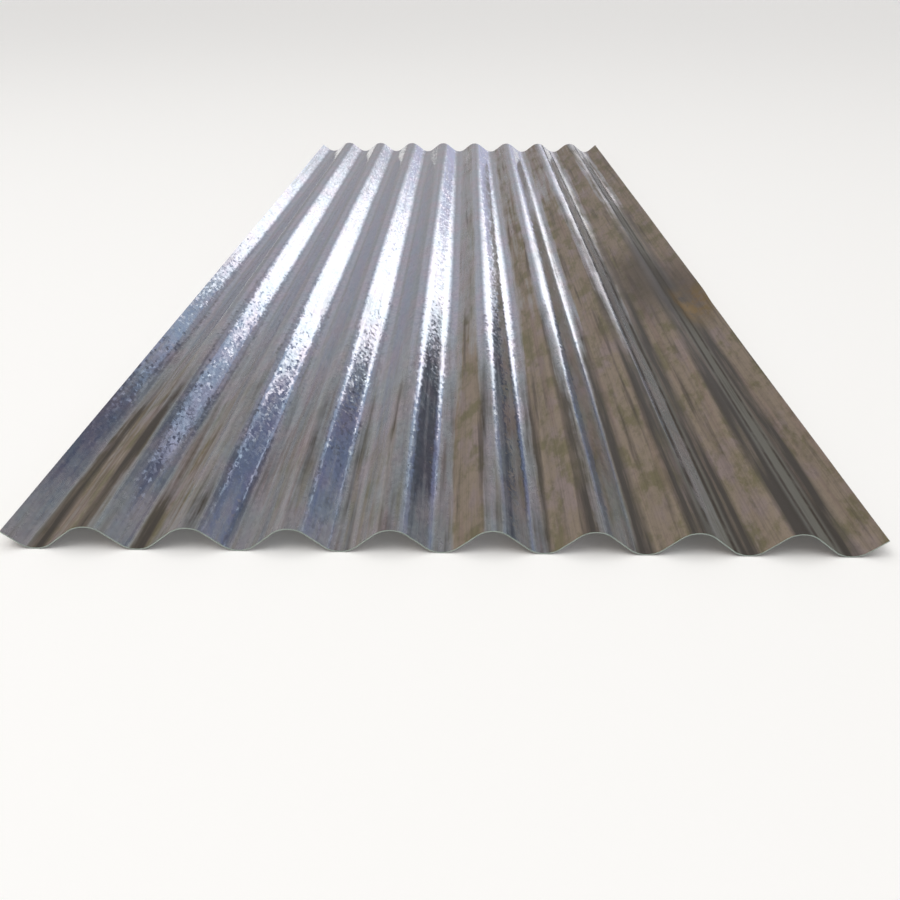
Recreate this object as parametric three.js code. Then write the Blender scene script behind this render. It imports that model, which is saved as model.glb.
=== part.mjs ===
// A corrugated steel sheet, roll-formed in one piece from flat galvanised coil.
// Millimetres, +Z up. The sheet lies level on the undersides of its valleys, with its flutes along Y.
// The origin is at floor level under the middle of the sheet.
import * as THREE from "three";

// Driving dimensions
const sheetLength = 1830; // along the flutes: a 6 ft sheet
const gauge = 0.8; // thickness of the steel
const pitch = 76.2; // from one crest to the next
const depth = 19; // from a valley up to a crest, on the same face of the steel
const crestCount = 8; // there is a valley on both sides of every crest
const bendRadius = 20; // of every crest and valley, at the middle of the steel
const sideLip = 25.2; // from the middle of an outer valley out to the side edge

// How finely the curved steel is faceted
const foldsPerBend = 10; // an even count leaves a level facet along every crest and valley
const lengthSteps = 6;

// The corrugation, measured at the middle of the steel
const halfPitch = pitch / 2;
const halfWidth = crestCount * halfPitch + sideLip;
// At the roundest bend, a crest and a valley meet without a flank.
const roundestBend = (halfPitch ** 2 + depth ** 2) / (4 * depth);
const radius = Math.min(bendRadius, roundestBend);
// A flank is the straight line that touches the bend of a valley below it and of a crest above it.
const centreDrop = 2 * radius - depth;
const touch = Math.min(1, (2 * radius) / Math.hypot(halfPitch, centreDrop));
const flankAngle = Math.asin(touch) - Math.atan2(centreDrop, halfPitch);
const foldAngle = (2 * flankAngle) / foldsPerBend;
// Folds sit just outside the true bend, so every facet touches it and the depth and the gauge stay exact.
const foldRadius = radius / Math.cos(foldAngle / 2);
const foldOffset = gauge / 2 / Math.cos(foldAngle / 2);

// The folds of one bend from left to right. A valley curls up (curl 1) and a crest curls down (curl -1).
function bend(middleX, curl) {
  const centreZ = curl > 0 ? radius : depth - radius;
  return Array.from({ length: foldsPerBend }, (_, i) => {
    const slope = curl * ((i + 0.5) * foldAngle - flankAngle);
    const x = middleX + curl * foldRadius * Math.sin(slope);
    const z = centreZ - curl * foldRadius * Math.cos(slope);
    return { x, z, slope };
  });
}

// The folds of the whole wave, with one crest more on each side than the sheet keeps.
function wave() {
  const folds = [];
  for (let i = -1; i <= 2 * crestCount + 1; i++) {
    const curl = i % 2 === 0 ? 1 : -1;
    folds.push(...bend((i - crestCount) * halfPitch, curl));
  }
  return folds;
}

// The end of the sheet's width, where the facet from one fold to the next crosses the side edge at edgeX.
function sideEdge(inner, outer, edgeX) {
  const share = (edgeX - inner.x) / (outer.x - inner.x);
  const z = inner.z + share * (outer.z - inner.z);
  const slope = Math.atan((outer.z - inner.z) / (outer.x - inner.x));
  return { x: edgeX, z, slope, isEdge: true };
}

// The wave slit to the sheet's width, square to the steel at both side edges.
function slitToWidth(folds) {
  const first = folds.findIndex((fold) => fold.x > -halfWidth);
  const last = folds.findLastIndex((fold) => fold.x < halfWidth);
  return [
    sideEdge(folds[first], folds[first - 1], -halfWidth),
    ...folds.slice(first, last + 1),
    sideEdge(folds[last], folds[last + 1], halfWidth),
  ];
}

// One face of the steel: side is 1 for the upper face and -1 for the underside.
function face(folds, side) {
  return folds.map(({ x, z, slope, isEdge }) => {
    const offset = side * (isEdge ? gauge / 2 : foldOffset);
    return new THREE.Vector2(x - offset * Math.sin(slope), z + offset * Math.cos(slope));
  });
}

function sheetGeometry() {
  const folds = slitToWidth(wave());
  const section = new THREE.Shape([...face(folds, -1), ...face(folds, 1).reverse()]);
  return new THREE.ExtrudeGeometry(section, {
    depth: sheetLength,
    steps: lengthSteps,
    bevelEnabled: false,
  });
}

const galvanisedSteel = new THREE.MeshStandardMaterial({
  name: "galvanised_steel",
  color: 0xb4b6b4,
  metalness: 1,
  roughness: 0.3,
});

const corrugatedSheet = new THREE.Mesh(sheetGeometry(), galvanisedSteel);
corrugatedSheet.name = "corrugated_sheet";
corrugatedSheet.rotation.x = Math.PI / 2; // stands the section upright, with the flutes running back along -Y
corrugatedSheet.position.set(0, sheetLength / 2, gauge / 2);

const sheet = new THREE.Group();
sheet.add(corrugatedSheet);

export default sheet;
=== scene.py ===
"""A corrugated sheet of hot-dip galvanised steel, roll-formed in one piece, on a pale studio floor.

Metres, +Z up. The sheet lies on the undersides of its valleys with its flutes along Y, as the CAD node does.
"""

import math
from functools import partial

import bpy
from bpy.props import FloatProperty, FloatVectorProperty, IntProperty, PointerProperty, StringProperty
from mathutils import Euler, Matrix, Vector


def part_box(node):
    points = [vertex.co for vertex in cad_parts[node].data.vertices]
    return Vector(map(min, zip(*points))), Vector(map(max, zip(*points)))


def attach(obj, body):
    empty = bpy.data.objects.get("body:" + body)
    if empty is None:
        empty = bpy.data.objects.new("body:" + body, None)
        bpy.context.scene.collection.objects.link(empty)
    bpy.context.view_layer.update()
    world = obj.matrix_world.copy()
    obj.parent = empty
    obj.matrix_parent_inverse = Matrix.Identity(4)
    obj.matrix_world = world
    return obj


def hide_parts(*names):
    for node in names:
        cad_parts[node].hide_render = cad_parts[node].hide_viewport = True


bl_info = {
    "name": "Corrugated Sheet",
    "version": (1, 0, 0),
    "blender": (4, 5, 0),
    "location": "View3D > Sidebar > Corrugated Sheet",
    "description": "Builds a roll-formed corrugated sheet of galvanised steel and a plain studio around it",
    "category": "Object",
}

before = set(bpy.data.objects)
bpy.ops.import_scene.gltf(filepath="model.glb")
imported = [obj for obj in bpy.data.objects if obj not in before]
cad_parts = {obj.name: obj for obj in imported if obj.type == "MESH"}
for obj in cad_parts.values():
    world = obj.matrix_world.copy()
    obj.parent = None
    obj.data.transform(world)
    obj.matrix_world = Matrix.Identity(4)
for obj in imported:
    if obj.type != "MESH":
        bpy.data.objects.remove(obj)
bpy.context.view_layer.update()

SHEET_NODE = "corrugated_sheet"
BLANK_ATTRIBUTE = "blank_position"
MM = 0.001
SHEET_LOW, SHEET_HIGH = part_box(SHEET_NODE)
PROFILE_DEPTH = 19.0 * MM
SMOOTH = {"interpolation_type": "SMOOTHSTEP"}

# Small faults of the rolled sheet: about how many waves to the metre each has across, along and up, and a
# shift that keeps two of them from falling together
STRAY_WAVES = (16.0, 3.2, 1.0)
DROOP_WAVES = (9.0, 5.5, 1.0)
DROOP_SHIFT = (31.0, 7.0, 3.0)
FLARE_WAVES = (38.0, 1.0, 1.0)

# How far in from an end its flare reaches, where across the lip its bend starts and ends, and how far to
# either side of its place the kink reaches
FLARE_REACH = 30.0 * MM
LIP_BEND = (-12.0 * MM, 20.0 * MM)
KINK_REACH = 30.0 * MM

# How far past the middle of the outer valley the lip starts, out of a pitch
LIP_STARTS = 0.1

# An edge of the mesh that turns by more than this is a sheared corner
SHEARED_CORNER = math.radians(50.0)

# The patterns are laid out on the flat blank in mm. Its two faces are spread, so that their patterns differ
BLANK_SCALE = (1000.0, 1000.0, 60000.0)

# Each texture of the finish: the size of its features in mm across and along the blank, detail and roughness
TEXTURES = {
    "ragged": (7.0, 7.0, 3.0, 0.6),
    "crinkle": (6.0, 14.0, 2.0, 0.55),
    "buckle": (60.0, 110.0, 1.0, 0.5),
    "lines": (2.2, 420.0, 3.0, 0.6),
    "grain": (0.8, 1.6, 2.0, 0.5),
    "drift": (130.0, 420.0, 3.0, 0.55),
    "streak": (8.0, 280.0, 5.0, 0.6),
    "oil": (11.0, 300.0, 4.0, 0.6),
    "mottle": (22.0, 60.0, 5.0, 0.7),
    "bloom": (24.0, 80.0, 3.0, 0.6),
    "speck": (5.0, 13.0, 4.0, 0.75),
}

# How far each texture is shifted from the one before, out of the size of its features, so that they differ
TEXTURE_SHIFT = (3.0, 2.0)

# Spangle: the width and length of a crystal and how far its outline can wander, in mm. A crystal that
# leans by L tilts by L * (CRYSTAL_TILT + CRYSTAL_STEEPER * L * L) radians
CRYSTAL_SIZE = (2.8, 6.0)
CRYSTAL_RAGGED = 5.0
CRYSTAL_TILT = 0.01
CRYSTAL_STEEPER = 0.2

# Handling dents: how far apart their places are in mm, the radii of rim and floor as a share of that, the
# depth in mm, and the share of the places that are struck
DENT_SPACING = (62.0, 150.0)
DENT_RIM = 0.09
DENT_FLOOR = 0.01
DENT_DEPTH = 0.16
DENT_SHARE = 0.34

# How deep each relief is, in mm. Real roller lines are finer, and are drawn 2 mm wide so that they show
RELIEF = {"crinkle": 0.034, "buckle": 0.35, "lines": 0.008, "grain": 0.003}

# How much its patterns and places have to add up to before the film of dirt starts to show
CLEAN_STEEL = 1.63

# Painted dark reflection lines: how far inside the end of a bend they run, and where they fade out and are
# full
PAINTED_LINE_INSET = 3.0 * MM
PAINTED_LINE_FADES = 4.5 * MM
PAINTED_LINE_FULL = 0.5 * MM

# Rust and a darker patch about the bent lip: their places, how they are drawn out, and where they fade out
# and are full
RUST_ACROSS = 310.0 * MM
RUST_STRETCH = (1.0, 0.4, 0.0)
RUST_FADES = 40.0 * MM
RUST_FULL = 6.0 * MM
DARK_PATCH_PLACE = (280.0 * MM, -240.0 * MM, 0.0)
DARK_PATCH_STRETCH = (1.5, 0.5, 0.0)
DARK_PATCH_FADES = 120.0 * MM
DARK_PATCH_FULL = 30.0 * MM

# A face is sheared if it lies in this skin at the side of the blank, or faces an end by at least this much
SIDE_SKIN = 0.02 * MM
FACES_END = 0.7

# Where the steel faces right, dirt begins this much further to the right and this much further forward
LAGS_RIGHT = 150.0 * MM
LAGS_FRONT = 360.0 * MM

# How strongly the dirt is painted darker as shade on crests, in valleys and on right flanks, and how much
# more to the right and in front
PAINTED_SHADE = 0.6
PAINTED_SHADE_RIGHT = 0.35
PAINTED_SHADE_FRONT = 0.5

# How strongly the blooms, the slate grey with its painted shade and the rust tint what is under them
BLOOM_TINT = 0.8
SHADED_SLATE_TINT = 0.85
RUST_TINT = 0.85

# How rough the smoothest crystals are, how much rougher the roughest are, and how much dirt and cuts add
ZINC_ROUGHNESS = 0.06
ZINC_ROUGHER = 0.06
DIRT_ROUGHER = 0.4

# A power that keeps a thin film shiny, and how much less metallic the thickest film is than steel
FILM_POWER = 1.6
FILM_DULLS = 0.92

# What the steel mirrors ahead: soft patches on the studio's wall. Azimuth, elevation, inner and outer radius,
# in degrees, and light
WALL_PATCHES = (
    (-22.0, 3.0, 9.0, 15.0, (0.36, 0.35, 0.36, 1.0)),
    (-7.0, 16.0, 3.0, 9.0, (0.48, 0.46, 0.50, 1.0)),
    (28.0, 4.0, 9.0, 14.0, (0.10, 0.10, 0.115, 1.0)),
    (23.0, 18.0, 2.0, 8.0, (0.20, 0.22, 0.32, 1.0)),
    (21.0, 25.0, 2.0, 7.0, (0.13, 0.14, 0.19, 1.0)),
    (12.0, 28.0, 4.0, 9.0, (0.15, 0.15, 0.18, 1.0)),
    (15.0, 19.5, 0.5, 5.0, (0.44, 0.49, 0.62, 1.0)),
    (21.0, 21.5, 0.3, 2.2, (0.64, 0.70, 0.84, 1.0)),
    (6.5, 20.5, 4.0, 7.5, (0.37, 0.36, 0.40, 1.0)),
    (11.0, 1.0, 4.0, 8.0, (0.54, 0.54, 0.70, 1.0)),
)

# The window ahead: how each side slopes across X and Z at 1 m, and where there its light starts and is full
WINDOW_SIDES = (
    (1.0, 0.4, 0.08, 0.28),
    (1.0, 0.0, 0.35, 0.30),
    (1.0, 2.4, 0.33, 0.50),
    (0.0, 1.0, 0.35, 0.30),
)
WINDOW = (1.7, 1.66, 1.68, 1.0)
WINDOW_RIM = (0.62, 0.72, 0.96, 1.0)

# The rest of the studio, from the floor up, and the elevations in degrees between which each part gives way
LOW_WALL = (0.42, 0.40, 0.41, 1.0)
HIGH_WALL = (0.22, 0.21, 0.22, 1.0)
CEILING = (1.45, 1.45, 1.45, 1.0)
ZENITH = (0.7, 0.7, 0.7, 1.0)
WALL_RISES = (18.0, 27.0)
CEILING_RISES = (40.0, 56.0)
ZENITH_RISES = (64.0, 82.0)

# The pale backdrop is all that the camera sees. The steel mirrors it behind and to the sides, where the Y of
# a direction falls from the first of these to the second
BACKDROP = (0.84, 0.83, 0.815, 1.0)
HIGH_BACKDROP = (0.36, 0.36, 0.37, 1.0)
BACKDROP_STARTS = (0.3, 0.0)

FLOOR_ROUGHNESS = 0.9

# The width of the film in mm, and the nearest and furthest that the camera sees in metres
FILM_WIDTH = 36.0
CAMERA_SEES = (0.01, 500.0)


class SheetSizes(bpy.types.PropertyGroup):
    """The sizes of the roll-formed sheet and of the small faults that yard handling leaves in it."""

    length: FloatProperty(
        name="Length", description="Along the flutes", unit="LENGTH", default=SHEET_HIGH[1] - SHEET_LOW[1]
    )
    pitch: FloatProperty(
        name="Pitch", description="From one crest to the next", unit="LENGTH", default=76.2 * MM
    )
    depth: FloatProperty(
        name="Depth", description="From a valley up to a crest", unit="LENGTH", default=PROFILE_DEPTH
    )
    gauge: FloatProperty(
        name="Gauge",
        description="Thickness of the steel",
        unit="LENGTH",
        precision=5,
        default=SHEET_HIGH[2] - SHEET_LOW[2] - PROFILE_DEPTH,
    )
    bend_radius: FloatProperty(
        name="Bend radius", description="At the middle of the steel", unit="LENGTH", default=20.0 * MM
    )
    crests: IntProperty(name="Crests", description="There is a valley on both sides of each", default=8)
    side_lip: FloatProperty(
        name="Side lip",
        description="From the middle of an outer valley out to the side edge",
        unit="LENGTH",
        default=25.2 * MM,
    )
    columns: IntProperty(name="Columns", description="Faces across the flat blank", default=300)
    rows: IntProperty(name="Rows", description="Faces along the flat blank", default=158)
    wander: FloatProperty(
        name="Wander", description="How far a crest strays from its line", unit="LENGTH", default=0.9 * MM
    )
    droop: FloatProperty(
        name="Droop", description="How much lower the lowest crests are", unit="LENGTH", default=0.5 * MM
    )
    flare: FloatProperty(
        name="Flare", description="How far shearing lifts the ends", unit="LENGTH", default=0.4 * MM
    )
    kink_place: FloatProperty(
        name="Kink place", description="Where the right lip is bent, along Y", unit="LENGTH", default=-0.31
    )
    kink_lift: FloatProperty(
        name="Kink lift", description="How far the bent lip stands up", unit="LENGTH", default=2.5 * MM
    )


class SheetColours(bpy.types.PropertyGroup):
    """The finish of the sheet, as sRGB hex values."""

    zinc: StringProperty(name="Zinc", description="Clean zinc crystals", default="#E0E2E4")
    zinc_dark: StringProperty(name="Dark zinc", description="Duller zinc crystals", default="#C9CCD3")
    bloom_blue: StringProperty(name="Blue bloom", description="Passivated zinc", default="#E1F0F7")
    bloom_violet: StringProperty(name="Violet bloom", description="Passivated zinc", default="#F5EAF3")
    oil: StringProperty(name="Oil", description="Rolling oil dried in streaks", default="#D8CBA6")
    stain: StringProperty(name="Stain", description="Brown stain in streaks", default="#CDAFA6")
    dirt: StringProperty(name="Dirt", description="Brown film of yard dirt", default="#8A7C6C")
    mauve: StringProperty(name="Mauve", description="Paler, greyer dirt", default="#8C7D7B")
    russet: StringProperty(name="Russet", description="Brown streaks in the dirt", default="#856F68")
    olive: StringProperty(name="Olive", description="Old rolling oil in the dirt", default="#66613F")
    # Painted shade: this dark brown darkens the dirt on crests, in valleys and on right flanks, and the
    # darker patch by the lip
    shade_brown: StringProperty(name="Shade brown", description="Dirt settled along the flutes", default="#38322A")
    # Grey-green dirt on the flanks that face right, darker there as painted shade
    shaded_slate: StringProperty(name="Shaded slate", description="Damp dirt on the right flanks", default="#75766F")
    # This dark brown also paints the dark reflection lines along the right bends
    dark_brown: StringProperty(name="Dark brown", description="Thick streaks of dirt", default="#3A332C")
    rust: StringProperty(name="Rust", description="Rust water from another sheet", default="#7A6238")
    cut_edge: StringProperty(name="Cut edge", description="Sheared steel and zinc", default="#B9C6BC")


class StudioSettings(bpy.types.PropertyGroup):
    """The floor, the lamp and the camera."""

    floor_colour: StringProperty(name="Floor", description="Pale floor", default="#F5F4F1")
    floor_glow: FloatProperty(
        name="Floor glow",
        description="How much whiter the floor looks than its paint would",
        subtype="FACTOR",
        default=0.09,
    )
    floor_size: FloatProperty(
        name="Floor size", description="Side of the floor", unit="LENGTH", default=160.0
    )
    lamp_place: FloatVectorProperty(
        name="Lamp place",
        description="Where the square lamp hangs, facing the sheet",
        subtype="TRANSLATION",
        default=(-1.6, -1.8, 4.2),
    )
    lamp_size: FloatProperty(
        name="Lamp size", description="Side of the square lamp", unit="LENGTH", default=3.0
    )
    lamp_radiance: FloatProperty(
        name="Lamp radiance", description="How bright the lamp is, where 1 is white", default=2.21
    )
    camera_place: FloatVectorProperty(
        name="Camera place",
        description="Where the camera stands",
        subtype="TRANSLATION",
        default=(0.0147, -1.5346, 0.389),
    )
    camera_down: FloatProperty(
        name="Camera tilt",
        description="How far the camera looks down",
        subtype="ANGLE",
        default=math.radians(26.06),
    )
    camera_left: FloatProperty(
        name="Camera heading",
        description="How far the camera is turned to the left of +Y",
        subtype="ANGLE",
        default=math.radians(0.81),
    )
    camera_roll: FloatProperty(
        name="Camera roll",
        description="How far the camera leans to its left",
        subtype="ANGLE",
        default=math.radians(0.19),
    )
    camera_lens: FloatProperty(
        name="Lens", description="Focal length in mm, on film 36 mm wide", default=38.94
    )


def linear(hex_colour):
    """An sRGB hex value as linear red, green, blue and alpha."""
    values = [int(hex_colour[i : i + 2], 16) / 255 for i in (1, 3, 5)]
    return [v / 12.92 if v <= 0.04045 else ((v + 0.055) / 1.055) ** 2.4 for v in values] + [1.0]


def add_node(tree, kind, inputs=(), **settings):
    """Adds a node and sets its properties. Each input, in order or by name, gets a value or a link."""
    node = tree.nodes.new(kind)
    for name, value in settings.items():
        setattr(node, name, value)
    shown = [socket for socket in node.inputs if socket.enabled]
    for key, value in inputs.items() if isinstance(inputs, dict) else enumerate(inputs):
        socket = shown[key] if isinstance(key, int) else node.inputs[key]
        if isinstance(value, bpy.types.Node):
            value = next(result for result in value.outputs if result.enabled)
        if isinstance(value, bpy.types.NodeSocket):
            tree.links.new(value, socket)
        else:
            socket.default_value = value
    return node


def section(sizes):
    """The slope of the flanks, and how long half a wave and the whole width of the sheet are when flat."""
    half_pitch = sizes.pitch / 2
    radius = sizes.bend_radius
    centre_drop = 2 * radius - sizes.depth
    reach = math.hypot(half_pitch, centre_drop)
    slope = math.asin(2 * radius / reach) - math.atan2(centre_drop, half_pitch)
    bend_run = radius * math.sin(slope)
    half_wave = 2 * radius * slope + (half_pitch - 2 * bend_run) / math.cos(slope)
    from_crest = half_pitch - sizes.side_lip
    lip = half_wave - radius * slope - (from_crest - bend_run) / math.cos(slope)
    return slope, half_wave, 2 * (sizes.crests * half_wave + lip)


def cut_blank(add, given):
    """A thin closed box in columns and rows, whose points keep their places on the flat blank."""
    size = add("ShaderNodeCombineXYZ", (given["Blank width"], given["Length"], given["Gauge"]))
    columns = add("ShaderNodeMath", (given["Columns"], 1.0), operation="ADD")
    rows = add("ShaderNodeMath", (given["Rows"], 1.0), operation="ADD")
    box = add("GeometryNodeMeshCube", (size, columns, rows, 2))
    return add(
        "GeometryNodeStoreNamedAttribute",
        {"Geometry": box, "Name": BLANK_ATTRIBUTE, "Value": add("GeometryNodeInputPosition")},
        data_type="FLOAT_VECTOR",
        domain="POINT",
    )


def roll_section(add, given, flat):
    """Rolls the blank into waves: each point's place on the middle of the steel, then on its own face."""
    radius, slope, half_wave = given["Bend radius"], given["Flank slope"], given["Half wave"]

    # Which valley a point is nearest to, and how far along the wave it is from there
    wave = add("ShaderNodeMath", (half_wave, 2.0), operation="MULTIPLY")
    waves = add("ShaderNodeMath", (flat["X"], wave), operation="DIVIDE")
    valley = add("ShaderNodeMath", (waves,), operation="ROUND")
    valley_x = add("ShaderNodeMath", (valley, wave), operation="MULTIPLY")
    from_valley = add("ShaderNodeMath", (flat["X"], valley_x), operation="SUBTRACT")
    hand = add("ShaderNodeMath", (from_valley,), operation="SIGN")
    walked = add("ShaderNodeMath", (from_valley,), operation="ABSOLUTE")
    to_crest = add("ShaderNodeMath", (half_wave, walked), operation="SUBTRACT")
    to_bend = add("ShaderNodeMath", (walked, to_crest), operation="MINIMUM")
    on_crest = add("ShaderNodeMath", (walked, to_crest), operation="GREATER_THAN")

    # The bend turns until it reaches the slope of the flank, and the rest is straight
    arc = add("ShaderNodeMath", (to_bend, radius), operation="DIVIDE")
    turned = add("ShaderNodeMath", (arc, slope), operation="MINIMUM")
    bend_length = add("ShaderNodeMath", (radius, slope), operation="MULTIPLY")
    past_bend = add("ShaderNodeMath", (to_bend, bend_length), operation="SUBTRACT")
    straight = add("ShaderNodeMath", (past_bend, 0.0), operation="MAXIMUM")
    sine = add("ShaderNodeMath", (turned,), operation="SINE")
    cosine = add("ShaderNodeMath", (turned,), operation="COSINE")
    bend_run = add("ShaderNodeMath", (radius, sine), operation="MULTIPLY")
    bend_fall = add("ShaderNodeMath", (1.0, cosine), operation="SUBTRACT")
    bend_rise = add("ShaderNodeMath", (radius, bend_fall), operation="MULTIPLY")
    low_run = add("ShaderNodeMath", (straight, cosine, bend_run), operation="MULTIPLY_ADD")
    low_rise = add("ShaderNodeMath", (straight, sine, bend_rise), operation="MULTIPLY_ADD")
    half_pitch = add("ShaderNodeMath", (given["Pitch"], 0.5), operation="MULTIPLY")
    high_run = add("ShaderNodeMath", (half_pitch, low_run), operation="SUBTRACT")
    high_rise = add("ShaderNodeMath", (given["Depth"], low_rise), operation="SUBTRACT")
    run = add("ShaderNodeMix", (on_crest, low_run, high_run))
    rise = add("ShaderNodeMix", (on_crest, low_rise, high_rise))
    out_run = add("ShaderNodeMath", (hand, run), operation="MULTIPLY")
    middle_x = add("ShaderNodeMath", (valley, given["Pitch"], out_run), operation="MULTIPLY_ADD")

    # Each face of the steel stands off the middle of the steel, square to it
    tipped = add("ShaderNodeMath", (hand, sine), operation="MULTIPLY")
    lean = add("ShaderNodeMath", (tipped, flat["Z"]), operation="MULTIPLY")
    face_x = add("ShaderNodeMath", (middle_x, lean), operation="SUBTRACT")
    half_gauge = add("ShaderNodeMath", (given["Gauge"], 0.5), operation="MULTIPLY")
    lift = add("ShaderNodeMath", (cosine, flat["Z"], half_gauge), operation="MULTIPLY_ADD")
    face_z = add("ShaderNodeMath", (rise, lift), operation="ADD")
    return middle_x, rise, face_x, face_z


def stray_crests(add, given, on_plan, rise, face_x, face_z):
    """Crests stray sideways and lie at slightly different heights, and the valleys stay on the floor."""
    height = add("ShaderNodeMath", (rise, given["Depth"]), operation="DIVIDE")
    stray_at = add("ShaderNodeVectorMath", (on_plan, STRAY_WAVES), operation="MULTIPLY")
    stray = add("ShaderNodeTexNoise", {"Vector": stray_at, "Scale": 1.0, "Detail": 2.0, "Roughness": 0.45})
    either_way = add("ShaderNodeMapRange", {"Value": stray, "To Min": -1.0, "To Max": 1.0})
    stray_x = add("ShaderNodeMath", (either_way, given["Wander"], face_x), operation="MULTIPLY_ADD")
    droop_at = add("ShaderNodeVectorMath", (on_plan, DROOP_WAVES, DROOP_SHIFT), operation="MULTIPLY_ADD")
    dip = add("ShaderNodeTexNoise", {"Vector": droop_at, "Scale": 1.0, "Detail": 1.0, "Roughness": 0.4})
    dip_here = add("ShaderNodeMath", (dip, height), operation="MULTIPLY")
    droop = add("ShaderNodeMath", (dip_here, given["Droop"]), operation="MULTIPLY")
    return stray_x, add("ShaderNodeMath", (face_z, droop), operation="SUBTRACT")


def flare_ends(add, given, on_plan, flat, low_z):
    """The shear that cuts the ends leaves them slightly wavy."""
    half_length = add("ShaderNodeMath", (given["Length"], 0.5), operation="MULTIPLY")
    from_middle = add("ShaderNodeMath", (flat["Y"],), operation="ABSOLUTE")
    from_end = add("ShaderNodeMath", (half_length, from_middle), operation="SUBTRACT")
    near_end = add("ShaderNodeMapRange", (from_end, FLARE_REACH, 0.0, 0.0, 1.0), **SMOOTH)
    flare_at = add("ShaderNodeVectorMath", (on_plan, FLARE_WAVES), operation="MULTIPLY")
    flare = add("ShaderNodeTexNoise", {"Vector": flare_at, "Scale": 1.0, "Detail": 2.0, "Roughness": 0.5})
    flare_here = add("ShaderNodeMath", (flare, near_end), operation="MULTIPLY")
    return add("ShaderNodeMath", (flare_here, given["Flare"], low_z), operation="MULTIPLY_ADD")


def kink_lip(add, given, middle_x, flat, low_z):
    """Past the kink, the right lip stands up."""
    lip_x = add("ShaderNodeMath", (middle_x, given["Lip start"]), operation="SUBTRACT")
    on_lip = add("ShaderNodeMapRange", (lip_x, *LIP_BEND, 0.0, 1.0), **SMOOTH)
    kink_y = add("ShaderNodeMath", (flat["Y"], given["Kink place"]), operation="SUBTRACT")
    past_kink = add("ShaderNodeMapRange", (kink_y, -KINK_REACH, KINK_REACH, 0.0, 1.0), **SMOOTH)
    kinked = add("ShaderNodeMath", (on_lip, past_kink), operation="MULTIPLY")
    return add("ShaderNodeMath", (kinked, given["Kink lift"], low_z), operation="MULTIPLY_ADD")


def roll_forming_tree(lengths, counts):
    """Geometry Nodes that cut a flat blank, roll it into waves and knock it about a little."""
    tree = bpy.data.node_groups.new("Roll-formed sheet", "GeometryNodeTree")
    add = partial(add_node, tree)
    for name in lengths:
        tree.interface.new_socket(name, in_out="INPUT", socket_type="NodeSocketFloat")
    for name in counts:
        tree.interface.new_socket(name, in_out="INPUT", socket_type="NodeSocketInt")
    tree.interface.new_socket("Finish", in_out="INPUT", socket_type="NodeSocketMaterial")
    tree.interface.new_socket("Geometry", in_out="OUTPUT", socket_type="NodeSocketGeometry")
    given = add("NodeGroupInput").outputs

    blank = cut_blank(add, given)
    flat = add("ShaderNodeSeparateXYZ", (add("GeometryNodeInputPosition"),)).outputs
    middle_x, rise, face_x, face_z = roll_section(add, given, flat)
    on_plan = add("ShaderNodeCombineXYZ", (middle_x, flat["Y"], 0.0))
    stray_x, z = stray_crests(add, given, on_plan, rise, face_x, face_z)
    z = flare_ends(add, given, on_plan, flat, z)
    z = kink_lip(add, given, middle_x, flat, z)
    formed = add("ShaderNodeCombineXYZ", (stray_x, flat["Y"], z))
    rolled = add("GeometryNodeSetPosition", {"Geometry": blank, "Position": formed})

    # The bends are smooth, and the sheared edges are crisp
    smooth = add("GeometryNodeSetShadeSmooth", (rolled,), domain="FACE")
    corner = add("GeometryNodeInputMeshEdgeAngle")
    sheared = add("ShaderNodeMath", (corner, SHEARED_CORNER), operation="GREATER_THAN")
    crisp = add("GeometryNodeSetShadeSmooth", (smooth, sheared, False), domain="EDGE")
    real = add("GeometryNodeRealizeInstances", (crisp,))
    finished = add("GeometryNodeSetMaterial", {"Geometry": real, "Material": given["Finish"]})
    add("NodeGroupOutput", (finished,))
    return tree


def lay_textures(add, millimetres):
    """Each texture of the finish, laid on the blank at its own size."""
    texture = {}
    for number, (name, (wide, long, detail, roughness)) in enumerate(TEXTURES.items()):
        shift = (TEXTURE_SHIFT[0] * number, TEXTURE_SHIFT[1] * number, 0.0)
        scale = (1 / wide, 1 / long, 1.0)
        at = add("ShaderNodeVectorMath", (millimetres, scale, shift), operation="MULTIPLY_ADD")
        texture[name] = add(
            "ShaderNodeTexNoise", {"Vector": at, "Scale": 1.0, "Detail": detail, "Roughness": roughness}
        ).outputs
    return texture


def freeze_spangle(add, millimetres, ragged, normal):
    """Crystals with ragged outlines, each tilted its own way, most by half a degree and a few by two."""
    wander = (CRYSTAL_RAGGED, CRYSTAL_RAGGED, CRYSTAL_RAGGED)
    outline = add("ShaderNodeVectorMath", (ragged, wander, millimetres), operation="MULTIPLY_ADD")
    scale = (1 / CRYSTAL_SIZE[0], 1 / CRYSTAL_SIZE[1], 1.0)
    crystal_at = add("ShaderNodeVectorMath", (outline, scale), operation="MULTIPLY")
    crystal = add("ShaderNodeTexVoronoi", {"Vector": crystal_at, "Scale": 1.0}).outputs
    tone = add("ShaderNodeSeparateColor", (crystal["Color"],)).outputs
    lean = add("ShaderNodeVectorMath", (crystal["Color"], (0.5, 0.5, 0.5)), operation="SUBTRACT")
    steeper = (CRYSTAL_STEEPER, CRYSTAL_STEEPER, CRYSTAL_STEEPER)
    least = (CRYSTAL_TILT, CRYSTAL_TILT, CRYSTAL_TILT)
    steep = add("ShaderNodeVectorMath", (lean, lean), operation="MULTIPLY")
    steep = add("ShaderNodeVectorMath", (steep, steeper, least), operation="MULTIPLY_ADD")
    tilted = add("ShaderNodeVectorMath", (lean, steep, normal), operation="MULTIPLY_ADD")
    return tone, add("ShaderNodeVectorMath", (tilted,), operation="NORMALIZE")


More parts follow.
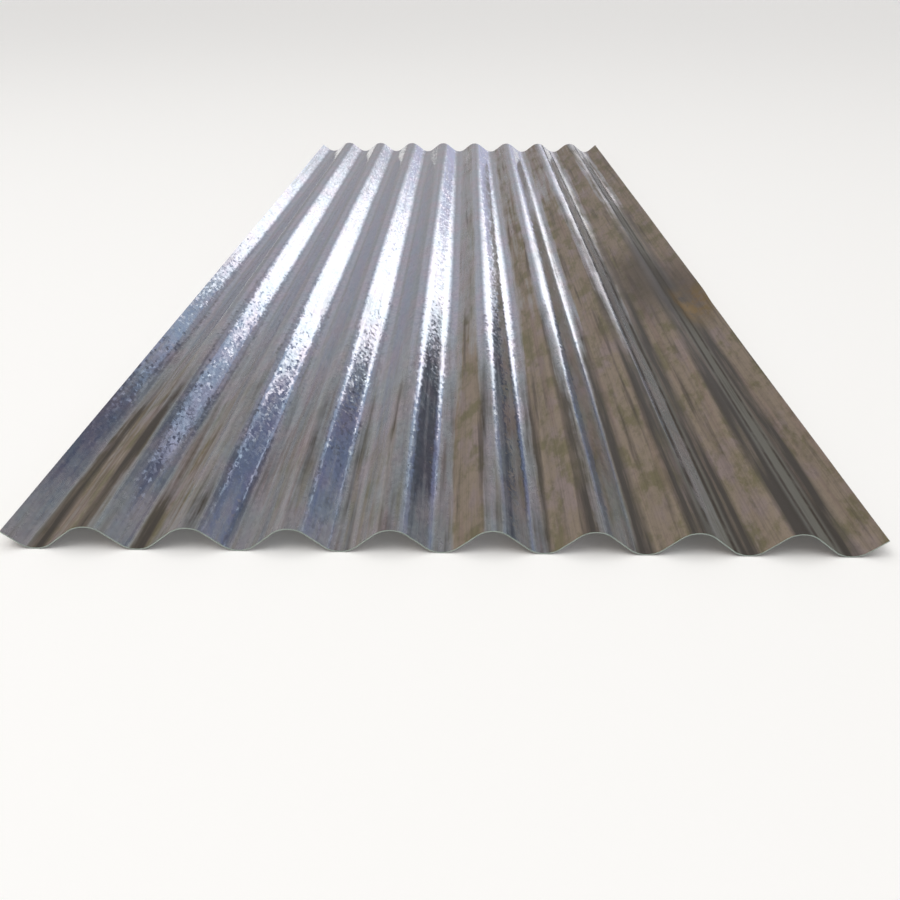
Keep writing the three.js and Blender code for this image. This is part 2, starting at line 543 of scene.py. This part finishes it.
def raise_relief(add, millimetres, texture, tilted):
    """Handling dents, long ways along the flutes, and the relief that rolling and handling leave."""
    scale = (1 / DENT_SPACING[0], 1 / DENT_SPACING[1], 1.0)
    dent_at = add("ShaderNodeVectorMath", (millimetres, scale), operation="MULTIPLY")
    dent = add("ShaderNodeTexVoronoi", {"Vector": dent_at, "Scale": 1.0, "Randomness": 0.9}).outputs
    dented = add("ShaderNodeSeparateColor", (dent["Color"],)).outputs
    bowl = add("ShaderNodeMapRange", (dent["Distance"], DENT_RIM, DENT_FLOOR, 0.0, 1.0), **SMOOTH)
    struck = add("ShaderNodeMath", (dented["Red"], 1.0 - DENT_SHARE), operation="GREATER_THAN")
    bowl = add("ShaderNodeMath", (bowl, struck), operation="MULTIPLY")
    relief = add("ShaderNodeMath", (bowl, -DENT_DEPTH), operation="MULTIPLY")
    for name, height in RELIEF.items():
        relief = add("ShaderNodeMath", (texture[name]["Fac"], height, relief), operation="MULTIPLY_ADD")
    return add("ShaderNodeBump", {"Strength": 1.0, "Distance": MM, "Height": relief, "Normal": tilted})


def weigh_places(add, facing, place):
    """How much dirt the facing of a place and where it is on the sheet let it have, by name."""
    weight = {}

    # How far to the right the steel faces where each weight starts and is full, and the most it comes to
    for name, start, end, most in (
        ("left_flank", -0.25, -0.5, 1.0),
        # This weight paints shade: the dirt is darker wherever the steel doesn't face left
        ("painted_shade", -0.5, -0.15, 0.85),
        ("right_flank", 0.15, 0.45, 1.0),
    ):
        weight[name] = add("ShaderNodeMapRange", (facing["X"], start, end, 0.0, most), **SMOOTH)

    rightward = add("ShaderNodeMath", (facing["X"], -LAGS_RIGHT, place["X"]), operation="MULTIPLY_ADD")
    lag = (weight["right_flank"], LAGS_FRONT, place["Y"])
    forward = add("ShaderNodeMath", lag, operation="MULTIPLY_ADD")

    # What each weight follows, where it starts and is full, and the least and the most it comes to
    for name, along, start, end, least, most in (
        ("right", rightward, 0.03, 0.28, 0.0, 1.0),
        ("right_side", place["X"], 0.17, 0.27, 0.0, 0.6),
        ("middle", place["X"], -0.04, 0.03, 0.0, 0.42),
        ("left_side", place["X"], -0.14, -0.28, 0.0, 0.6),
        ("front", forward, -0.3, -0.8, 0.0, 0.7),
        ("near", place["Y"], 0.5, -0.5, 0.5, 1.25),
        ("painted_line_side", place["X"], 0.08, 0.21, 0.0, 1.0),
    ):
        weight[name] = add("ShaderNodeMapRange", (along, start, end, least, most), **SMOOTH)
    return weight


def spread_film(add, texture, weight):
    """The film of dirt thickens to the right and the front, soonest on the flanks that face left."""
    film = -CLEAN_STEEL
    for thickness, share in (
        (texture["drift"]["Fac"], 0.9),
        (texture["streak"]["Fac"], 1.6),
        (texture["mottle"]["Fac"], 0.65),
        (weight["right"], weight["near"]),
        (weight["right_side"], weight["near"]),
        (weight["left_flank"], weight["middle"]),
        (weight["left_side"], weight["front"]),
        (weight["front"], 1.0),
    ):
        film = add("ShaderNodeMath", (thickness, share, film), operation="MULTIPLY_ADD")
    return add("ShaderNodeMath", (film, 0.0), operation="ADD", use_clamp=True)


def paint_dark_reflection_lines(add, sizes, across, mottle, weight):
    """On the right, a dark reflection line is painted where the flanks that face right meet the bends."""
    slope, half_wave, _ = section(sizes)
    from_valley = add("ShaderNodeMath", (across, half_wave), operation="PINGPONG")
    from_crest = add("ShaderNodeMath", (half_wave, from_valley), operation="SUBTRACT")
    to_bend = add("ShaderNodeMath", (from_valley, from_crest), operation="MINIMUM")
    line = sizes.bend_radius * slope - PAINTED_LINE_INSET
    off_line = add("ShaderNodeMath", (to_bend, line), operation="SUBTRACT")
    off_line = add("ShaderNodeMath", (off_line,), operation="ABSOLUTE")
    painted_line = add("ShaderNodeMapRange", (off_line, PAINTED_LINE_FADES, PAINTED_LINE_FULL, 0.0, 1.0), **SMOOTH)
    broken = add("ShaderNodeMapRange", (mottle, 0.34, 0.54, 0.4, 1.0), **SMOOTH)
    for share in (weight["right_flank"], weight["painted_line_side"], broken):
        painted_line = add("ShaderNodeMath", (painted_line, share), operation="MULTIPLY")
    return painted_line


def stain_lip(add, sizes, here, mottle):
    """Rust water has run into the bent lip, and about it the dirt is darker in a patch."""
    rust_place = (RUST_ACROSS, sizes.kink_place, 0.0)
    reaches = []
    for middle, stretch, fades, full, most in (
        (rust_place, RUST_STRETCH, RUST_FADES, RUST_FULL, 1.0),
        (DARK_PATCH_PLACE, DARK_PATCH_STRETCH, DARK_PATCH_FADES, DARK_PATCH_FULL, 0.7),
    ):
        away = add("ShaderNodeVectorMath", (here, middle), operation="SUBTRACT")
        away = add("ShaderNodeVectorMath", (away, stretch), operation="MULTIPLY")
        away = add("ShaderNodeVectorMath", (away,), operation="LENGTH")
        reaches.append(add("ShaderNodeMapRange", (away, fades, full, 0.0, most), **SMOOTH))
    spots = add("ShaderNodeMapRange", (mottle, 0.38, 0.58, 0.0, 1.0), **SMOOTH)
    rust = add("ShaderNodeMath", (reaches[0], spots), operation="MULTIPLY")
    return rust, reaches[1]


def find_cut_edges(add, sizes, across, facing):
    """The sheared sides and ends of the sheet."""
    blank_width = section(sizes)[2]
    off_middle = add("ShaderNodeMath", (across,), operation="ABSOLUTE")
    side_cut = add("ShaderNodeMath", (off_middle, blank_width / 2 - SIDE_SKIN), operation="GREATER_THAN")
    faces_end = add("ShaderNodeMath", (facing["Y"],), operation="ABSOLUTE")
    end_cut = add("ShaderNodeMath", (faces_end, FACES_END), operation="GREATER_THAN")
    return add("ShaderNodeMath", (side_cut, end_cut), operation="MAXIMUM")


def show_colours(add, texture):
    """Where each colour of the dirt and the zinc shows, out of 1."""
    shown = {}

    # The texture each colour follows, where in it the colour starts and is full, and the most it shows
    for name, source, start, end, most in (
        ("olive", "mottle", 0.46, 0.62, 0.75),
        ("mauve", "bloom", 0.48, 0.64, 0.7),
        ("russet", "oil", 0.5, 0.36, 0.4),
        ("specks", "speck", 0.45, 0.75, 0.3),
        ("brushed", "lines", 0.44, 0.66, 0.22),
        ("dark_brown", "streak", 0.52, 0.72, 0.75),
        ("bloom", "bloom", 0.35, 0.7, 1.0),
        ("oil", "oil", 0.5, 0.66, 0.9),
        ("stain", "oil", 0.48, 0.34, 0.9),
    ):
        shown[name] = add("ShaderNodeMapRange", (texture[source]["Fac"], start, end, 0.0, most), **SMOOTH)
    return shown


def mix_dirt(add, colours, streak, weight, shown, dark_patch):
    """The colour of the dirt: brown, mauve, olive, russet, grey on right flanks, and darker as painted shade.
    """
    patchy = add("ShaderNodeMapRange", (streak, 0.4, 0.6, 0.45, 1.0))
    # Painted shade: the dirt is darker on crests, in valleys and on right flanks, more so to the right and in
    # front
    dirtier = add("ShaderNodeMath", (weight["right"], PAINTED_SHADE_RIGHT, PAINTED_SHADE), operation="MULTIPLY_ADD")
    dirtier = add("ShaderNodeMath", (weight["front"], PAINTED_SHADE_FRONT, dirtier), operation="MULTIPLY_ADD")
    painted_shade = add("ShaderNodeMath", (weight["painted_shade"], weight["near"]), operation="MULTIPLY")
    for share in (patchy, dirtier):
        painted_shade = add("ShaderNodeMath", (painted_shade, share), operation="MULTIPLY")
    # Painted shade: the right flanks get a darker, grey-green dirt
    shaded_slate = add("ShaderNodeMath", (weight["right_flank"], SHADED_SLATE_TINT), operation="MULTIPLY")
    dirt = linear(colours.dirt)
    for share, colour in (
        (shown["mauve"], colours.mauve),
        (shown["olive"], colours.olive),
        (shown["russet"], colours.russet),
        (shown["specks"], colours.dark_brown),
        (shown["brushed"], colours.dark_brown),
        (painted_shade, colours.shade_brown),
        (shaded_slate, colours.shaded_slate),
        (dark_patch, colours.shade_brown),
        (shown["dark_brown"], colours.dark_brown),
    ):
        dirt = add("ShaderNodeMix", (share, dirt, linear(colour)), data_type="RGBA")
    return dirt


def tint_zinc(add, colours, tone, weight, shown):
    """The colour of the zinc: lighter and darker crystals, tinted by blooms, and by oil where it is worn."""
    blooms = (shown["bloom"], linear(colours.bloom_blue), linear(colours.bloom_violet))
    bloom = add("ShaderNodeMix", blooms, data_type="RGBA")
    crystals = (tone, linear(colours.zinc), linear(colours.zinc_dark))
    zinc = add("ShaderNodeMix", crystals, data_type="RGBA")
    zinc = add("ShaderNodeMix", (BLOOM_TINT, zinc, bloom), data_type="RGBA", blend_type="MULTIPLY")
    worn = add("ShaderNodeMath", (weight["right"], weight["front"]), operation="MAXIMUM")
    for name, colour in (("oil", colours.oil), ("stain", colours.stain)):
        share = add("ShaderNodeMath", (shown[name], worn), operation="MULTIPLY")
        zinc = add("ShaderNodeMix", (share, zinc, linear(colour)), data_type="RGBA", blend_type="MULTIPLY")
    return zinc


def galvanised_steel(sizes, colours):
    """Hot-dip galvanised steel, rolled after it was coated, passivated and a year in the yard.

    Molten zinc freezes on the strip in fine crystals, 3 mm wide and 6 mm long, the spangle. Each mirrors at
    its own slight tilt, so an edge of light breaks up into flakes. Passivating leaves faint blue and violet
    blooms. Rollers leave fine lines along the sheet, and the yard leaves a brown film in streaks along the
    flutes, thicker to the right and the front, so that the bright steel dies away into dull brown there.
    """
    material = bpy.data.materials.new("hot_dip_galvanised_steel")
    material.use_nodes = True
    tree = material.node_tree
    tree.nodes.clear()
    add = partial(add_node, tree)
    blank = add("ShaderNodeAttribute", attribute_name=BLANK_ATTRIBUTE).outputs["Vector"]
    across = add("ShaderNodeSeparateXYZ", (blank,)).outputs["X"]
    here = add("ShaderNodeTexCoord").outputs["Object"]
    place = add("ShaderNodeSeparateXYZ", (here,)).outputs
    normal = add("ShaderNodeNewGeometry").outputs["Normal"]
    facing = add("ShaderNodeSeparateXYZ", (normal,)).outputs

    millimetres = add("ShaderNodeVectorMath", (blank, BLANK_SCALE), operation="MULTIPLY")
    texture = lay_textures(add, millimetres)
    mottle = texture["mottle"]["Fac"]
    tone, tilted = freeze_spangle(add, millimetres, texture["ragged"]["Color"], normal)
    bump = raise_relief(add, millimetres, texture, tilted)
    weight = weigh_places(add, facing, place)
    film = spread_film(add, texture, weight)
    painted_line = paint_dark_reflection_lines(add, sizes, across, mottle, weight)
    rust, dark_patch = stain_lip(add, sizes, here, mottle)
    cut = find_cut_edges(add, sizes, across, facing)

    shown = show_colours(add, texture)
    dirt = mix_dirt(add, colours, texture["streak"]["Fac"], weight, shown, dark_patch)
    skin = tint_zinc(add, colours, tone["Red"], weight, shown)
    rust_share = add("ShaderNodeMath", (rust, RUST_TINT), operation="MULTIPLY")
    for share, colour in (
        (film, dirt),
        # Painted dark reflection lines along the right bends
        (painted_line, linear(colours.dark_brown)),
        (rust_share, linear(colours.rust)),
        (cut, linear(colours.cut_edge)),
    ):
        skin = add("ShaderNodeMix", (share, skin, colour), data_type="RGBA")

    # Dirt, rust, painted dark lines and cut steel are rougher than zinc, and all but cut steel are not metal
    covered = add("ShaderNodeMath", (film, painted_line), operation="MAXIMUM")
    covered = add("ShaderNodeMath", (covered, rust), operation="MAXIMUM")
    thick = add("ShaderNodeMath", (covered, FILM_POWER), operation="POWER")
    zinc_range = (tone["Green"], ZINC_ROUGHER, ZINC_ROUGHNESS)
    roughness = add("ShaderNodeMath", zinc_range, operation="MULTIPLY_ADD")
    for share in (thick, cut):
        roughness = add("ShaderNodeMath", (share, DIRT_ROUGHER, roughness), operation="MULTIPLY_ADD")
    metallic = add("ShaderNodeMath", (covered, -FILM_DULLS, 1.0), operation="MULTIPLY_ADD")
    shader = add(
        "ShaderNodeBsdfPrincipled",
        {"Base Color": skin, "Metallic": metallic, "Roughness": roughness, "Normal": bump},
    )
    add("ShaderNodeOutputMaterial", {"Surface": shader})
    return material


class SHEET_OT_build(bpy.types.Operator):
    """Roll-form the corrugated sheet and give it its galvanised finish"""

    bl_idname = "corrugated.build_sheet"
    bl_label = "Build Sheet"

    def execute(self, context):
        sizes = context.scene.sheet_sizes
        finish = galvanised_steel(sizes, context.scene.sheet_colours)
        mesh = self.roll(context, sizes, finish)
        sheet = bpy.data.objects.new("galvanised_sheet", mesh)
        context.collection.objects.link(sheet)
        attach(sheet, "root")
        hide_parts(SHEET_NODE)
        return {"FINISHED"}

    def roll(self, context, sizes, finish):
        """The plain mesh that the Geometry Nodes make."""
        slope, half_wave, blank_width = section(sizes)
        lengths = {
            "Blank width": blank_width,
            "Length": sizes.length,
            "Gauge": sizes.gauge,
            "Pitch": sizes.pitch,
            "Depth": sizes.depth,
            "Bend radius": sizes.bend_radius,
            "Flank slope": slope,
            "Half wave": half_wave,
            "Wander": sizes.wander,
            "Droop": sizes.droop,
            "Flare": sizes.flare,
            "Lip start": sizes.pitch * (sizes.crests / 2 + LIP_STARTS),
            "Kink place": sizes.kink_place,
            "Kink lift": sizes.kink_lift,
        }
        counts = {"Columns": sizes.columns, "Rows": sizes.rows}
        tree = roll_forming_tree(lengths, counts)
        blank = bpy.data.objects.new("blank", bpy.data.meshes.new("blank"))
        context.collection.objects.link(blank)
        modifier = blank.modifiers.new("Roll forming", "NODES")
        modifier.node_group = tree
        values = {**lengths, **counts, "Finish": finish}
        for socket in tree.interface.items_tree:
            if socket.in_out == "INPUT":
                modifier[socket.identifier] = values[socket.name]
        mesh = bpy.data.meshes.new_from_object(blank.evaluated_get(context.evaluated_depsgraph_get()))
        bpy.data.objects.remove(blank)
        if not mesh.polygons:
            raise RuntimeError("the roll-forming nodes made no faces")
        return mesh


class SHEET_OT_stage(bpy.types.Operator):
    """Lay the floor, paint the studio, hang the lamp and set up the camera"""

    bl_idname = "corrugated.build_stage"
    bl_label = "Build Stage"

    def execute(self, context):
        studio = context.scene.studio
        self.lay_floor(context, studio)
        self.paint_studio(context.scene)
        self.hang_lamp(context, studio)
        self.stand_camera(context, studio)
        context.scene.view_settings.view_transform = "Standard"
        return {"FINISHED"}

    def lay_floor(self, context, studio):
        """Matt paint, lifted a little for the eye and for the steel, so that the floor keeps the shadow."""
        material = bpy.data.materials.new("matt_floor_paint")
        material.use_nodes = True
        material.node_tree.nodes.clear()
        add = partial(add_node, material.node_tree)
        colour = linear(studio.floor_colour)
        paint = add("ShaderNodeBsdfPrincipled", {"Base Color": colour, "Roughness": FLOOR_ROUGHNESS})
        ray = add("ShaderNodeLightPath").outputs
        seen = add("ShaderNodeMath", (ray["Is Camera Ray"], ray["Is Glossy Ray"]), operation="ADD")
        glow = add("ShaderNodeMath", (seen, studio.floor_glow), operation="MULTIPLY")
        lift = add("ShaderNodeEmission", {"Color": colour, "Strength": glow})
        lifted = add("ShaderNodeAddShader", (paint, lift))
        add("ShaderNodeOutputMaterial", {"Surface": lifted})

        half = studio.floor_size / 2
        corners = [(-half, -half, 0), (half, -half, 0), (half, half, 0), (-half, half, 0)]
        mesh = bpy.data.meshes.new("floor")
        mesh.from_pydata(corners, [], [(0, 1, 2, 3)])
        mesh.materials.append(material)
        floor = bpy.data.objects.new("floor", mesh)
        context.collection.objects.link(floor)

    def paint_studio(self, scene):
        """The walls, window and ceiling that the steel mirrors. The camera sees only the backdrop."""
        world = bpy.data.worlds.new("studio_air")
        world.use_nodes = True
        scene.world = world
        world.node_tree.nodes.clear()
        add = partial(add_node, world.node_tree)
        ray = add("ShaderNodeLightPath").outputs
        toward = add("ShaderNodeTexCoord").outputs["Generated"]
        axes = add("ShaderNodeSeparateXYZ", (toward,)).outputs
        rising = []
        for rise in (WALL_RISES, CEILING_RISES, ZENITH_RISES):
            low, high = [math.sin(math.radians(elevation)) for elevation in rise]
            rising.append(add("ShaderNodeMapRange", (axes["Z"], low, high, 0.0, 1.0), **SMOOTH))

        # The wall and the backdrop darken upward, and only steel that faces back mirrors the backdrop
        room = add("ShaderNodeMix", (rising[0], LOW_WALL, HIGH_WALL), data_type="RGBA")
        backdrop = add("ShaderNodeMix", (rising[0], BACKDROP, HIGH_BACKDROP), data_type="RGBA")
        behind = add("ShaderNodeMapRange", (axes["Y"], *BACKDROP_STARTS, 0.0, 1.0), **SMOOTH)
        behind = add("ShaderNodeMath", (behind, ray["Is Glossy Ray"]), operation="MULTIPLY")
        room = add("ShaderNodeMix", (behind, room, backdrop), data_type="RGBA")
        for azimuth, elevation, inner, outer, light in WALL_PATCHES:
            turn = Euler((math.radians(elevation), 0.0, -math.radians(azimuth)))
            centre = turn.to_matrix() @ Vector((0.0, 1.0, 0.0))
            near = add("ShaderNodeVectorMath", (toward, centre), operation="DOT_PRODUCT")
            fades, full = math.cos(math.radians(outer)), math.cos(math.radians(inner))
            inside = add("ShaderNodeMapRange", (near, fades, full, 0.0, 1.0), **SMOOTH)
            room = add("ShaderNodeMix", (inside, room, light), data_type="RGBA")

        # The window shines ahead, and the ceiling is bright but for its middle
        window = add("ShaderNodeMath", (axes["Y"], 0.0), operation="GREATER_THAN")
        for across, up, dark, bright in WINDOW_SIDES:
            over = add("ShaderNodeVectorMath", (toward, (across, 0.0, up)), operation="DOT_PRODUCT")
            over = add("ShaderNodeMath", (over, axes["Y"]), operation="DIVIDE")
            side = add("ShaderNodeMapRange", (over, dark, bright, 0.0, 1.0), **SMOOTH)
            window = add("ShaderNodeMath", (window, side), operation="MULTIPLY")
        daylight = add("ShaderNodeMix", (window, WINDOW_RIM, WINDOW), data_type="RGBA")
        for share, light in (
            (window, daylight),
            (rising[1], CEILING),
            (rising[2], ZENITH),
            (ray["Is Camera Ray"], BACKDROP),
        ):
            room = add("ShaderNodeMix", (share, room, light), data_type="RGBA")
        glow = add("ShaderNodeBackground", {"Color": room, "Strength": 1.0})
        add("ShaderNodeOutputWorld", {"Surface": glow})

    def hang_lamp(self, context, studio):
        """A square lamp of even radiance, aimed at the middle of the sheet. The steel doesn't mirror it."""
        lamp = bpy.data.lights.new("key_overhead", "AREA")
        lamp.shape = "SQUARE"
        lamp.size = studio.lamp_size
        lamp.energy = studio.lamp_radiance * math.pi * studio.lamp_size**2
        hung = bpy.data.objects.new("key_overhead", lamp)
        aim = (-studio.lamp_place).to_track_quat("-Z", "Y")
        hung.matrix_world = Matrix.Translation(studio.lamp_place) @ aim.to_matrix().to_4x4()
        hung.visible_camera = False
        hung.visible_glossy = False
        context.collection.objects.link(hung)

    def stand_camera(self, context, studio):
        """The camera, turned, tilted and leaned about where it stands."""
        camera = bpy.data.cameras.new("camera")
        camera.lens = studio.camera_lens
        camera.sensor_width = FILM_WIDTH
        camera.clip_start, camera.clip_end = CAMERA_SEES
        stand = bpy.data.objects.new("camera", camera)
        turn = (
            Matrix.Rotation(studio.camera_left, 4, "Z")
            @ Matrix.Rotation(math.pi / 2 - studio.camera_down, 4, "X")
            @ Matrix.Rotation(studio.camera_roll, 4, "Z")
        )
        stand.matrix_world = Matrix.Translation(studio.camera_place) @ turn
        context.collection.objects.link(stand)
        context.scene.camera = stand


class SHEET_PT_panel(bpy.types.Panel):
    """The sheet's sizes, its finish and its stage"""

    bl_idname = "SHEET_PT_panel"
    bl_label = "Corrugated Sheet"
    bl_space_type = "VIEW_3D"
    bl_region_type = "UI"
    bl_category = "Corrugated Sheet"

    def draw(self, context):
        layout = self.layout
        for group in (context.scene.sheet_sizes, context.scene.sheet_colours):
            for name in group.__annotations__:
                layout.prop(group, name)
        layout.operator(SHEET_OT_build.bl_idname)
        for name in context.scene.studio.__annotations__:
            layout.prop(context.scene.studio, name)
        layout.operator(SHEET_OT_stage.bl_idname)


CLASSES = (SheetSizes, SheetColours, StudioSettings, SHEET_OT_build, SHEET_OT_stage, SHEET_PT_panel)


def register():
    for cls in CLASSES:
        bpy.utils.register_class(cls)
    bpy.types.Scene.sheet_sizes = PointerProperty(type=SheetSizes)
    bpy.types.Scene.sheet_colours = PointerProperty(type=SheetColours)
    bpy.types.Scene.studio = PointerProperty(type=StudioSettings)


def unregister():
    del bpy.types.Scene.studio
    del bpy.types.Scene.sheet_colours
    del bpy.types.Scene.sheet_sizes
    for cls in reversed(CLASSES):
        bpy.utils.unregister_class(cls)


def main():
    register()
    bpy.ops.corrugated.build_sheet()
    bpy.ops.corrugated.build_stage()


if __name__ == "__main__":
    main()
